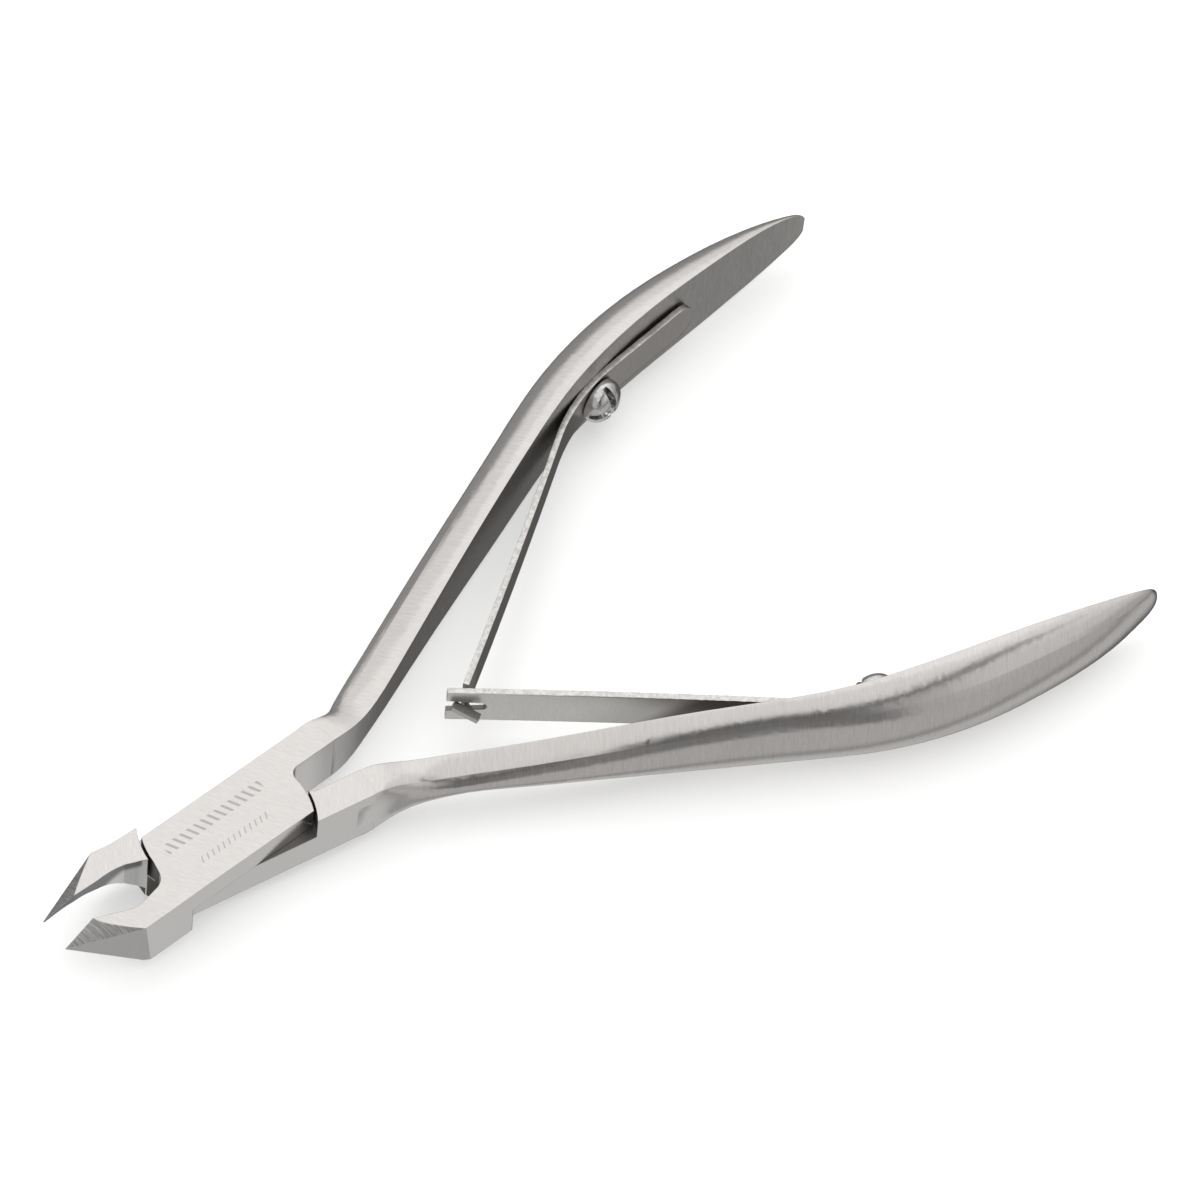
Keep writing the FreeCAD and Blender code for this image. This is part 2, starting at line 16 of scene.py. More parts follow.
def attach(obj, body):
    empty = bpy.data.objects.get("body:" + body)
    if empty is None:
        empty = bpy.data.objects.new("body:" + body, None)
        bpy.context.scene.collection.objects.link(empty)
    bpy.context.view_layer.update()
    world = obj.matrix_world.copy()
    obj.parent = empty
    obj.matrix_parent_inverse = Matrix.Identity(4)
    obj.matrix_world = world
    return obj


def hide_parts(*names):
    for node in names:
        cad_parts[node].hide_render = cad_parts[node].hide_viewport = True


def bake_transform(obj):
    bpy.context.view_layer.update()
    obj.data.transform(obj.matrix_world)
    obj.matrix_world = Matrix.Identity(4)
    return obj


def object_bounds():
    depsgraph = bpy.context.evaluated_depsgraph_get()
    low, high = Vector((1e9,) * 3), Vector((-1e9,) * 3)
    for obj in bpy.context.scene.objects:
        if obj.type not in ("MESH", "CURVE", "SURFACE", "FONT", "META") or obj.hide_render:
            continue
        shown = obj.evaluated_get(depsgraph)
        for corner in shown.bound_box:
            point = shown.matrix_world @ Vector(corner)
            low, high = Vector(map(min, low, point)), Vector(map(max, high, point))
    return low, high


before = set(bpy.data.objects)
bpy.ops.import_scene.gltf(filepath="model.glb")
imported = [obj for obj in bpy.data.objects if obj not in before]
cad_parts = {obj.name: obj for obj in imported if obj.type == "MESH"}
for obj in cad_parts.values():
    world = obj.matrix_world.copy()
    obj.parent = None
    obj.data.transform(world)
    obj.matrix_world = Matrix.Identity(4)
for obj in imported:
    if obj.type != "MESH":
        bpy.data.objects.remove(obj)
CAD_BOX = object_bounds()

MM = 0.001
UP = Vector((0, 0, 1))
LEFT, RIGHT = 1, -1
PREFIX = {LEFT: "left", RIGHT: "right"}
REST_TURN = {LEFT: 4.9, RIGHT: -5.2}    # turn of each half about the pivot in the open rest pose
HANDLE_ANGLE = 26                       # heading of a handle in its own half


# ---------------------------------------------------------------- node helpers

def link_or_set(tree, socket, value):
    """Set a socket to a number or colour, or link it to another node's output."""
    if isinstance(value, (int, float)):
        socket.default_value = value
    elif isinstance(value, tuple):
        socket.default_value = (*value, 1.0) if len(socket.default_value) == 4 else value
    else:
        tree.links.new(value, socket)


def calc(tree, operation, *values):
    """One math node."""
    node = tree.nodes.new("ShaderNodeMath")
    node.operation = operation
    for socket, value in zip(node.inputs, values):
        link_or_set(tree, socket, value)
    return node.outputs[0]


def smooth(tree, value, low, high):
    """0 below low and 1 above high, smooth between. A high below low turns it round."""
    node = tree.nodes.new("ShaderNodeMapRange")
    node.interpolation_type = "SMOOTHSTEP"
    link_or_set(tree, node.inputs["Value"], value)
    node.inputs["From Min"].default_value = low
    node.inputs["From Max"].default_value = high
    return node.outputs["Result"]


def both(tree, *masks):
    """Product of several masks."""
    result = masks[0]
    for mask in masks[1:]:
        result = calc(tree, "MULTIPLY", result, mask)
    return result


def inside(tree, value, low, high, soft):
    """1 between low and high, 0 outside."""
    above = smooth(tree, value, low - soft, low + soft)
    below = smooth(tree, value, high + soft, high - soft)
    return both(tree, above, below)


def mix(tree, factor, first, second):
    """Colour mix."""
    node = tree.nodes.new("ShaderNodeMix")
    node.data_type = "RGBA"
    for index, value in ((0, factor), (6, first), (7, second)):
        link_or_set(tree, node.inputs[index], value)
    return node.outputs[2]


def blend_value(tree, factor, first, second):
    """Number mix."""
    node = tree.nodes.new("ShaderNodeMix")
    for index, value in ((0, factor), (2, first), (3, second)):
        link_or_set(tree, node.inputs[index], value)
    return node.outputs[0]


def stretched(tree, vector, turn, lengths):
    """Coordinates in units of these lengths along axes turned about Z by an angle in radians."""
    node = tree.nodes.new("ShaderNodeMapping")
    node.vector_type = "TEXTURE"
    tree.links.new(vector, node.inputs["Vector"])
    node.inputs["Rotation"].default_value = (0, 0, turn)
    node.inputs["Scale"].default_value = lengths
    return node.outputs["Vector"]


def noise(tree, vector, scale=1.0, detail=2.0, rough=0.5):
    """Noise with a mean of about 0.5. The scale is in features per unit of the vector."""
    node = tree.nodes.new("ShaderNodeTexNoise")
    tree.links.new(vector, node.inputs["Vector"])
    node.inputs["Scale"].default_value = scale
    node.inputs["Detail"].default_value = detail
    node.inputs["Roughness"].default_value = rough
    return node.outputs["Fac"]


def scratches(tree, vector, turn, width, length, detail, rough=0.5):
    """Noise drawn out into scratches, this wide along the turned X axis and this long across it."""
    lengths = (width * MM, length * MM, length * MM)
    return noise(tree, stretched(tree, vector, turn, lengths), 1, detail, rough)


def dot(tree, vector, direction):
    """Length of a vector along a direction."""
    node = tree.nodes.new("ShaderNodeVectorMath")
    node.operation = "DOT_PRODUCT"
    tree.links.new(vector, node.inputs[0])
    link_or_set(tree, node.inputs[1], direction)
    return node.outputs["Value"]


def split(tree, vector):
    """X, Y and Z of a vector."""
    node = tree.nodes.new("ShaderNodeSeparateXYZ")
    tree.links.new(vector, node.inputs[0])
    return node.outputs["X"], node.outputs["Y"], node.outputs["Z"]


def shades(colour, factor):
    """A colour made darker or lighter, with no channel above 1."""
    return tuple(min(1.0, c * factor) for c in colour)


# ---------------------------------------------------------------- materials

class Steel:
    """Brushed steel: base colour, roughness and bump built up step by step.

    The scratches are grain_width wide and lie across the heading grain_turn, which is in radians. Sharp
    edges are shaded as if rounded to edge_radius. rise is 1 on level faces, 0 on upright ones and -1 on
    undersides.
    """

    SCRATCH_LENGTH = 1.1
    STREAK_LENGTH = 4.0

    def __init__(self, name, tint, roughness, grain_turn, grain_width=0.07, edge_radius=0.1):
        self.material = bpy.data.materials.new(name)
        self.material.use_nodes = True
        tree = self.tree = self.material.node_tree
        coords = tree.nodes.new("ShaderNodeTexCoord")
        self.place = coords.outputs["Object"]
        self.normal = coords.outputs["Normal"]
        self.rise = split(tree, self.normal)[2]
        self.tint = tint

        fine = scratches(tree, self.place, grain_turn, grain_width, self.SCRATCH_LENGTH, 3, 0.7)
        broad = scratches(tree, self.place, grain_turn, grain_width * 4, self.STREAK_LENGTH, 2)
        self.grain = blend_value(tree, 0.2, fine, broad)
        self.height = self.grain
        grain_colour = mix(tree, smooth(tree, self.grain, 0.3, 0.7), shades(tint, 0.91), shades(tint, 1.05))
        drift = noise(tree, self.place, 140, 3)
        cloud = calc(tree, "MULTIPLY", smooth(tree, drift, 0.4, 0.75), 0.18)
        self.colour = mix(tree, cloud, grain_colour, shades(tint, 0.8))
        self.rough = calc(tree, "MULTIPLY_ADD", self.grain, 0.1, roughness - 0.05)

        rounding = tree.nodes.new("ShaderNodeBevel")
        rounding.samples = 8
        rounding.inputs["Radius"].default_value = edge_radius * MM
        self.rounded = rounding.outputs["Normal"]
        geometry = tree.nodes.new("ShaderNodeNewGeometry")
        self.edge = smooth(tree, dot(tree, self.rounded, geometry.outputs["Normal"]), 0.995, 0.93)

    def position(self, turn=0.0):
        """X, Y and Z in millimetres, on axes turned about Z by an angle in radians."""
        return split(self.tree, stretched(self.tree, self.place, turn, (MM, MM, MM)))

    def facing(self, turn):
        """X, Y and Z of the surface's normal, on axes turned about Z by an angle in radians."""
        return split(self.tree, stretched(self.tree, self.normal, turn, (1, 1, 1)))

    def paint(self, mask, tint, strength=1.0, rough=None):
        """Mix a tint, and a roughness if given, into the surface where the mask is 1."""
        factor = calc(self.tree, "MULTIPLY", mask, strength)
        self.colour = mix(self.tree, factor, self.colour, tint)
        if rough is not None:
            self.rough = blend_value(self.tree, factor, self.rough, rough)

    def rubbed_edge_highlight(self, strength):
        """Edges rubbed smooth and painted bright as an edge highlight, broken up by noise."""
        tree = self.tree
        broken = smooth(tree, noise(tree, self.place, 900, 3), 0.35, 0.6)
        mask = both(tree, self.edge, blend_value(tree, 0.6, 1.0, broken))
        # Painted highlight along the edges, with a smoother surface.
        self.paint(mask, shades(self.tint, 1.2), strength, 0.2)

    def finish(self, bump=0.16):
        """Link everything to the shader and return the material."""
        tree = self.tree
        relief = tree.nodes.new("ShaderNodeBump")
        relief.inputs["Strength"].default_value = bump
        relief.inputs["Distance"].default_value = 0.02 * MM
        tree.links.new(self.height, relief.inputs["Height"])
        tree.links.new(self.rounded, relief.inputs["Normal"])
        shader = tree.nodes["Principled BSDF"]
        shader.inputs["Metallic"].default_value = 1.0
        tree.links.new(self.colour, shader.inputs["Base Color"])
        tree.links.new(self.rough, shader.inputs["Roughness"])
        tree.links.new(relief.outputs["Normal"], shader.inputs["Normal"])
        return self.material


def stroke_row(tree, x, y, span, band, pitch, share, slant):
    """Mask of slanted strokes in a span of x and a band of y. Each takes this share of the pitch."""
    along = calc(tree, "DIVIDE", calc(tree, "MULTIPLY_ADD", y, slant, x), pitch)
    stroke = inside(tree, calc(tree, "FRACT", along), 0.5 - share / 2, 0.5 + share / 2, 0.04)
    return both(tree, stroke, inside(tree, x, *span, 0.03), inside(tree, y, *band, 0.03))


def etched_rows(steel, turn):
    """Two rows of plain slanted strokes etched into the top plate."""
    tree = steel.tree
    x, y, z = steel.position(turn)
    plate_top = smooth(tree, z, 5.3, 5.45)
    wide = stroke_row(tree, x, y, (-6.4, 4.5), (0.8, 1.85), pitch=0.78, share=0.36, slant=0.45)
    thin = stroke_row(tree, x, y, (-4.7, 3.1), (-1.72, -1.08), pitch=0.6, share=0.2, slant=-0.45)
    marks = calc(tree, "MAXIMUM", both(tree, wide, plate_top), both(tree, thin, plate_top))
    steel.paint(marks, (0.36, 0.365, 0.37), 0.6, 0.5)


def ground_faces(steel, turn):
    """Jaw bevels: bare ground steel, darker, with straight scratches up to the cutting edge."""
    tree = steel.tree
    x = steel.position(turn)[0]
    bevels = both(tree, smooth(tree, x, -12.0, -12.4), inside(tree, steel.rise, 0.12, 0.93, 0.04))
    scratch = scratches(tree, steel.place, turn + math.radians(12), 0.09, 2, 4, 0.8)
    lines = smooth(tree, scratch, 0.42, 0.62)
    tone = mix(tree, lines, (0.38, 0.372, 0.365), (0.66, 0.65, 0.64))
    steel.paint(bevels, tone, 0.9, 0.32)


def handle_wall_painted_shade(steel, side, handle_heading):
    """Flat inner wall of the handle: painted darker than the outside as shade, with a coarser finish.

    It covers the whole wall of the left half. On the right half it only shows faintly near the tail.
    """
    tree = steel.tree
    x = steel.position()[0]
    inward = (math.sin(handle_heading), -side * math.cos(handle_heading), 0)
    facing = smooth(tree, dot(tree, steel.normal, inward), 0.75, 0.9)
    shaded_grain = mix(tree, smooth(tree, steel.grain, 0.3, 0.7), (0.31, 0.30, 0.29), (0.47, 0.455, 0.44))
    # Painted shade: the wall's colour is darkened here, and its surface made rougher.
    steel.paint(both(tree, facing, smooth(tree, x, 9, 12)), shaded_grain, 0.85, 0.38)


def upright_faces_painted_light(steel):
    """Upright faces of joint and jaws, painted brighter than the handles as a painted reflection."""
    tree = steel.tree
    x = steel.position()[0]
    upright = smooth(tree, calc(tree, "ABSOLUTE", steel.rise), 0.4, 0.2)
    # Painted light: a pale tint on the upright faces of joint and jaws.
    steel.paint(both(tree, upright, smooth(tree, x, 20, 9)), (0.97, 0.955, 0.94), 0.7)


def jaw_wall_light_and_shade(steel, side, turn):
    """Ground inner wall of the jaw: painted shade at its upper edge and towards the tip, and painted light
    by the joint.
    """
    tree = steel.tree
    x, _, z = steel.position(turn)
    _, ny, nz = steel.facing(turn)
    inward = smooth(tree, calc(tree, "MULTIPLY", ny, side), 0.3, 0.6)
    wall = both(tree, smooth(tree, x, -8.7, -8.9), inside(tree, nz, -0.4, 0.4, 0.1), inward)
    reach = calc(tree, "MULTIPLY_ADD", x, -0.55, z)
    shade_band = calc(tree, "MAXIMUM", smooth(tree, z, 4.3, 5.0), smooth(tree, reach, 9.9, 11.0))
    # Painted light and shade: pale by the joint, dark at the upper edge and towards the tip.
    steel.paint(wall, mix(tree, shade_band, (0.98, 0.98, 0.985), (0.26, 0.26, 0.265)), 0.92)


def from_pivot(tree, x, y):
    """Distance from the pivot's axis."""
    return calc(tree, "SQRT", calc(tree, "MULTIPLY_ADD", y, y, calc(tree, "MULTIPLY", x, x)))


def lap_corner_painted_shade(steel, turn):
    """Painted shade on the lower plate, in the open corner behind the upper one."""
    tree = steel.tree
    x, y, z = steel.position(turn)
    lap_face = both(tree, smooth(tree, z, 3.3, 3.15), smooth(tree, z, 1.0, 2.9),
                    smooth(tree, steel.rise, 0.7, 0.9))
    corner = smooth(tree, from_pivot(tree, x, y), 8.2, 7.3)
    # Painted shade: the corner's colour darkened almost to black.
    steel.paint(both(tree, lap_face, corner), (0.13, 0.125, 0.12), 0.85, 0.45)


def lap_gap_painted_shade(steel, turn):
    """Painted shade: a dark line on the round walls where the two plates meet."""
    tree = steel.tree
    x, y, _ = steel.position(turn)
    nx, ny, _ = steel.facing(turn)
    ring = from_pivot(tree, x, y)
    radial = calc(tree, "MULTIPLY_ADD", ny, y, calc(tree, "MULTIPLY", nx, x))
    outward = calc(tree, "ABSOLUTE", calc(tree, "DIVIDE", radial, ring))
    walls = both(tree, smooth(tree, outward, 0.9, 0.97), inside(tree, ring, 7.0, 8.45, 0.1))
    # Painted shade in the gap between the two plates.
    steel.paint(walls, (0.08, 0.075, 0.07), 0.85, 0.5)


def half_steel(side):
    """Satin steel of one forged half, with what is ground and etched on it, and its painted light and
    shade.
    """
    turn = math.radians(REST_TURN[side])
    handle_heading = side * math.radians(HANDLE_ANGLE) + turn
    steel = Steel(f"{PREFIX[side]}_half_steel", (0.77, 0.745, 0.728), 0.21, handle_heading)
    handle_wall_painted_shade(steel, side, handle_heading)
    if side == LEFT:
        etched_rows(steel, turn)
    else:
        lap_corner_painted_shade(steel, turn)
    upright_faces_painted_light(steel)
    jaw_wall_light_and_shade(steel, side, turn)
    lap_gap_painted_shade(steel, turn)
    steel.rubbed_edge_highlight(0.35)
    ground_faces(steel, turn)
    return steel.finish(0.05)


def outer_face_painted_shade(steel, x, z):
    """Painted shade on the outer face of the right strip: darker grey from the middle of the arm on, and
    then dark brown.
    """
    tree = steel.tree
    outer_face = (-0.595, -0.804, 0)
    outer = smooth(tree, dot(tree, steel.normal, outer_face), 0.6, 0.8)
    reach = calc(tree, "MULTIPLY_ADD", calc(tree, "SUBTRACT", z, 1.0), -0.875, x)
    # Painted shade, grey and then dark brown, where the strip runs in beside the handle.
    steel.paint(both(tree, outer, smooth(tree, reach, 31.0, 37.0)), (0.6, 0.58, 0.55), 0.6)
    steel.paint(both(tree, outer, smooth(tree, reach, 36.6, 38.8)), (0.17, 0.155, 0.145), 0.85)


def edge_highlight_and_slot_shade(steel, z):
    """Sheared edges of the strip painted bright as a highlight, ragged from the tearing, and the walls of
    its cut-outs painted dark as shade.
    """
    tree = steel.tree
    torn = noise(tree, steel.place, 2200, 3, 0.6)
    edge = smooth(tree, calc(tree, "ABSOLUTE", steel.rise), 0.45, 0.8)
    edge_highlight_tone = mix(tree, smooth(tree, torn, 0.35, 0.65), (0.62, 0.61, 0.59), (0.85, 0.84, 0.82))
    # Painted highlight on the strip's edges, broken up by the torn noise.
    steel.paint(edge, edge_highlight_tone, 0.9, 0.32)
    steel.height = calc(tree, "MULTIPLY_ADD", both(tree, torn, edge), 1.2, steel.grain)
    # Painted shade on the walls of the cut-outs.
    steel.paint(both(tree, edge, inside(tree, z, 1.2, 4.7, 0.1)), (0.16, 0.15, 0.14), 0.8, 0.5)


def strip_light_and_shade_steel(side):
    """Spring strip, one steel in two tints: the left one painted dark as shade, the right one painted
    light, and the left one's foot painted light.
    """
    # Painted light and shade: a dark tint for the left strip and a pale one for the right.
    tint = (0.47, 0.45, 0.43) if side == LEFT else (0.96, 0.94, 0.91)
    strip_heading = side * math.radians(36)
    steel = Steel(f"{PREFIX[side]}_strip_light_and_shade_steel", tint, 0.32, strip_heading, 0.08, 0.06)
    x, _, z = steel.position()
    if side == LEFT:
        # Painted light on the left strip's foot.
        steel.paint(smooth(steel.tree, x, 28.0, 27.2), (0.74, 0.72, 0.69), 0.8)
    else:
        outer_face_painted_shade(steel, x, z)
    edge_highlight_and_slot_shade(steel, z)
    steel.rubbed_edge_highlight(0.6)
    return steel.finish(0.12)


def screw_steel():
    """Polished screw, scuffed by the driver."""
    steel = Steel("screw_polished_steel", (0.80, 0.795, 0.785), 0.12, 0.3, 0.3, 0.05)
    tree = steel.tree
    scuff = smooth(tree, noise(tree, steel.place, 2600, 4, 0.7), 0.5, 0.62)
    steel.paint(scuff, (0.45, 0.44, 0.43), 0.5, 0.35)
    steel.height = noise(tree, steel.place, 1500, 3)
    steel.rubbed_edge_highlight(0.9)
    return steel.finish(0.6)


def recess_painted_shade():
    """Faces of the driver's recess, painted dark as shade, torn bright in places."""
    # Painted shade: a dark copy of the screw steel for the recess.
    steel = Steel("recess_torn_steel", (0.34, 0.335, 0.33), 0.16, 0.3, 0.3, 0.04)
    tree = steel.tree
    torn = smooth(tree, noise(tree, steel.place, 2100, 3, 0.6), 0.52, 0.58)
    steel.paint(torn, (0.92, 0.92, 0.91), 0.9, 0.12)
    steel.height = noise(tree, steel.place, 1800, 3)
    return steel.finish(0.9)


def rivet_steel():
    """Rivet, peened and ground flush."""
    steel = Steel("rivet_ground_steel", (0.7, 0.69, 0.68), 0.3, 0.9, 0.15, 0.08)
    steel.rubbed_edge_highlight(0.8)
    return steel.finish()


# ---------------------------------------------------------------- leaf springs

# The strip runs from its tail straight along the root, round the bend and straight along the arm. Both
# headings are those of the left strip in the closed pose, and root and arm would meet at CORNER.
THICKNESS = 0.55
HALF_WIDTH = 2.0
STRIP_Z = 3.0
ARM_ANGLE = 31.3
ROOT_ANGLE = 5.0
BEND_RADIUS = 20.0
CORNER = (54.18, 15.62)
ARM_BOW = 0.12
HINGE_X = 50.0
TAIL_X = 69.9
TAIL_ROUND = 1.8

# The arms cross where the left one's T foot sits in the right one's slot. A reach is the length from the
# crossing to the left arm's shoulder, the fork's end or the start of the foot, negative if it falls short.
SHOULDER_REACH = -0.65
FORK_REACH = 1.3
FOOT_REACH = 0.38
FOOT_LENGTH = 0.8
FOOT_HALF_WIDTH = 1.3
NECK_HALF_WIDTH = 0.4
FOOT_TWIST = 70
FOOT_SHIFT = 0.55
FOOT_DROP = 0.1
SLOT_LENGTH = 3.6
SLOT_RADIUS = 0.47
MOUTH_HALF_WIDTH = 0.75

# The strip's edges are torn: each point is moved up or down by a draw between these.
TORN_TOP = (-0.045, 0.03)
TORN_BOTTOM = (-0.01, 0.02)
TORN_SEED = 40
RIM = 0.22                              # width of the band of faces beside each edge

# A row of the strip's grid: its distance from the tail, half widths of the strip and of its cut-out, and
# how much of the foot's twist it has. A row has six points, so five bands lie between two rows.
Row = namedtuple("Row", "s half slot twist")
QUARTER_STEPS = 8
NECK_STEPS = 6
FOOT_STEPS = 3
ALL_BANDS = (0, 1, 2, 3, 4)
OUTER_BANDS = (0, 1, 3, 4)
MIDDLE_BAND = (2,)


def rotated(point, degrees):
    """A point turned about Z."""
    return Matrix.Rotation(math.radians(degrees), 3, "Z") @ point


def bend_reach():
    """Length from the corner of root and arm to either end of the bend."""
    return BEND_RADIUS * math.tan((math.radians(ARM_ANGLE) - math.radians(ROOT_ANGLE)) / 2)


def strip_layout(side):
    """Tail point, and lengths of root, bend, arm up to its hinge, and arm from there to the crossing."""
    arm, root = math.radians(ARM_ANGLE), math.radians(ROOT_ANGLE)
    reach = bend_reach()
    root_run = (TAIL_X - CORNER[0] - math.cos(root) * reach) / math.cos(root)
    tail = Vector((TAIL_X, side * (CORNER[1] + math.sin(root) * (reach + root_run)), 0))
    bend_run = BEND_RADIUS * (arm - root)
    to_hinge = (CORNER[0] - math.cos(arm) * reach - HINGE_X) / math.cos(arm)
    hinge_y = CORNER[1] - math.sin(arm) * (reach + to_hinge)
    rest = math.radians(abs(REST_TURN[side]))
    hinge_height = HINGE_X * math.sin(rest) + hinge_y * math.cos(rest)
    to_crossing = hinge_height / math.sin(rest + arm)
    return tail, root_run, bend_run, to_hinge, to_crossing


class Strip:
    """Middle line of a spring strip, from the clamped tail to the arm's end."""

    TRACE_STEP = 0.02

    def __init__(self, side):
        self.side = side
        self.tail, root_run, bend_run, to_hinge, self.crossing = strip_layout(side)
        self.bend_start = root_run
        self.bend_end = root_run + bend_run
        self.hinge = self.bend_end + to_hinge
        self.arm_length = self.crossing + (SHOULDER_REACH if side == LEFT else FORK_REACH)

    def heading(self, s):
        """Direction of travel in degrees at distance s from the tail."""
        if s < self.bend_start:
            turn = 180 + ROOT_ANGLE
        elif s < self.bend_end:
            turn = 180 + ROOT_ANGLE + math.degrees((s - self.bend_start) / BEND_RADIUS)
        else:
            turn = 180 + ARM_ANGLE
        share = (s - self.hinge) / self.arm_length
        if 0 < share < 1:
            turn += math.degrees(4 * ARM_BOW * (1 - 2 * share) / self.arm_length)
        return self.side * turn

    def trace(self, stations):
        """Point and left-hand normal at each station, at rest."""
        place = self.tail.copy()
        s = 0.0
        frames = []
        for goal in stations:
            while s < goal - 1e-9:
                run = min(self.TRACE_STEP, goal - s)
                angle = math.radians(self.heading(s + run / 2))
                place = place + Vector((math.cos(angle), math.sin(angle), 0)) * run
                s += run
            angle = math.radians(self.heading(max(s - 1e-6, 0)) + 90)
            normal = Vector((math.cos(angle), math.sin(angle), 0))
            turn = REST_TURN[self.side]
            frames.append((rotated(place, turn) + UP * STRIP_Z, rotated(normal, turn)))
        return frames


def tail_half_width(s):
    """Half width of the strip near its rounded tail."""
    if s >= TAIL_ROUND:
        return HALF_WIDTH
    return HALF_WIDTH - TAIL_ROUND + math.sqrt(TAIL_ROUND ** 2 - (TAIL_ROUND - s) ** 2)


def spread(start, end, step):
    """Even stations from start up to, but without, end."""
    count = max(1, round((end - start) / step))
    return [start + (end - start) * i / count for i in range(count)]


def plain_stations(strip, end):
    """Stations from the tail up to, but without, end: dense round the tail, and closer on the arm."""
    tail = [TAIL_ROUND * (1 - math.cos(i * math.pi / (2 * QUARTER_STEPS))) for i in range(QUARTER_STEPS)]
    return tail + spread(TAIL_ROUND, strip.hinge, 0.5) + spread(strip.hinge, end, 0.3)


def fork_rows(strip):
    """Rows of the strip that ends in a fork, and the bands filled after each row."""
    end = strip.hinge + strip.arm_length
    slot_start = end - SLOT_LENGTH
    centre = slot_start + SLOT_RADIUS
    rows = [Row(s, tail_half_width(s), 0.0, 0.0) for s in plain_stations(strip, slot_start)]
    for i in range(QUARTER_STEPS + 1):
        turn = i * math.pi / (2 * QUARTER_STEPS)
        s = centre - SLOT_RADIUS * math.cos(turn)
        rows.append(Row(s, HALF_WIDTH, SLOT_RADIUS * math.sin(turn), 0.0))
    for s in spread(centre, end, 0.3)[1:] + [end]:
        flare = (s - centre) / (end - centre)
        rows.append(Row(s, HALF_WIDTH, SLOT_RADIUS + (MOUTH_HALF_WIDTH - SLOT_RADIUS) * flare, 0.0))
    return rows, [OUTER_BANDS] * (len(rows) - 1)


def foot_rows(strip):
    """Rows of the strip that narrows to a neck and ends in a twisted T foot, and the bands filled."""
    neck = NECK_HALF_WIDTH
    shoulder = strip.hinge + strip.arm_length
    foot = strip.hinge + strip.crossing + FOOT_REACH
    rows = []
    for s in plain_stations(strip, shoulder) + [shoulder]:
        half = tail_half_width(s)
        rows.append(Row(s, half, min(neck, half * 0.6), 0.0))
    bands = [ALL_BANDS] * (len(rows) - 1)
    for i in range(1, NECK_STEPS):
        share = i / NECK_STEPS
        twist = share * share * (3 - 2 * share)
        rows.append(Row(shoulder + (foot - shoulder) * share, neck * 1.6, neck, twist))
    rows.append(Row(foot, FOOT_HALF_WIDTH, neck, 1.0))
    bands += [MIDDLE_BAND] * NECK_STEPS
    for i in range(1, FOOT_STEPS + 1):
        rows.append(Row(foot + FOOT_LENGTH * i / FOOT_STEPS, FOOT_HALF_WIDTH, neck, 1.0))
        bands.append(ALL_BANDS)
    return rows, bands


def flat_strip(rows, bands):
    """The strip laid out flat and thickened: x is the row's number, y the thickness, z the width."""
    bm = bmesh.new()
    grid = []
    for index, row in enumerate(rows):
        rim = max(row.half - RIM, (row.half + row.slot) / 2)
        below = [bm.verts.new((index, -THICKNESS / 2, z)) for z in (-row.half, -rim, -row.slot)]
        above = [bm.verts.new((index, -THICKNESS / 2, z)) for z in (row.slot, rim, row.half)]
        if row.slot == 0:
            bm.verts.remove(above[0])
            above[0] = below[-1]
        grid.append(below + above)
    for index, filled in enumerate(bands):
        here, there = grid[index], grid[index + 1]
        for j in filled:
            bm.faces.new((here[j], there[j], there[j + 1], here[j + 1]))
    loose = [v for v in bm.verts if not v.link_faces]
    bmesh.ops.delete(bm, geom=loose, context="VERTS")
    made = bmesh.ops.extrude_face_region(bm, geom=bm.faces[:])
    lifted = [v for v in made["geom"] if isinstance(v, bmesh.types.BMVert)]
    bmesh.ops.translate(bm, verts=lifted, vec=(0, THICKNESS, 0))
    return bm


def bend_to_line(bm, rows, frames, dice):
    """Move the flat strip onto its middle line, with torn edges and a twisted foot."""
    for vert in bm.verts:
        index = round(vert.co.x)
        row = rows[index]
        across, rise = vert.co.y, vert.co.z
        on_edge = abs(abs(rise) - row.half) < 1e-6 and row.s > 1.0
        if on_edge and row.half == HALF_WIDTH:
            rise += dice.uniform(*(TORN_TOP if rise > 0 else TORN_BOTTOM))
        twist = math.radians(FOOT_TWIST) * row.twist
        sideways = across * math.cos(twist) - rise * math.sin(twist) + FOOT_SHIFT * row.twist
        upwards = across * math.sin(twist) + rise * math.cos(twist) - FOOT_DROP * row.twist
        point, normal = frames[index]
        vert.co = (point + normal * sideways + UP * upwards) * MM


def soften_edges(bm):
    """Round the strip's sharp edges a little."""
    sharp = [e for e in bm.edges if e.is_manifold and e.calc_face_angle() > math.radians(50)]
    bmesh.ops.bevel(bm, geom=sharp, offset=0.045 * MM, segments=2, profile=0.6, affect="EDGES",
                    clamp_overlap=True)


def object_from(bm, name):
    """Object made from a bmesh, which is used up."""
    mesh = bpy.data.meshes.new(name)
    bm.to_mesh(mesh)
    bm.free()
    obj = bpy.data.objects.new(name, mesh)
    bpy.context.scene.collection.objects.link(obj)
    return obj


def leaf_spring(side):
    """One spring in one piece, replacing the model's clamped root and flexing arm."""
    prefix = PREFIX[side]
    strip = Strip(side)
    rows, bands = foot_rows(strip) if side == LEFT else fork_rows(strip)
    bm = flat_strip(rows, bands)
    dice = random.Random(TORN_SEED + side)
    bend_to_line(bm, rows, strip.trace([row.s for row in rows]), dice)
    bmesh.ops.recalc_face_normals(bm, faces=bm.faces)
    soften_edges(bm)
    obj = object_from(bm, f"{prefix}_leaf_spring")
    obj.data.shade_smooth()
    obj.data.set_sharp_from_angle(angle=math.radians(35))
    obj.data.materials.append(strip_light_and_shade_steel(side))
    half_bend = 4.0
    (start, _), (end, _) = strip.trace([strip.hinge - half_bend, strip.hinge + half_bend])
    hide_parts(f"{prefix}_leaf_root", f"{prefix}_leaf_arm")
    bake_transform(obj)


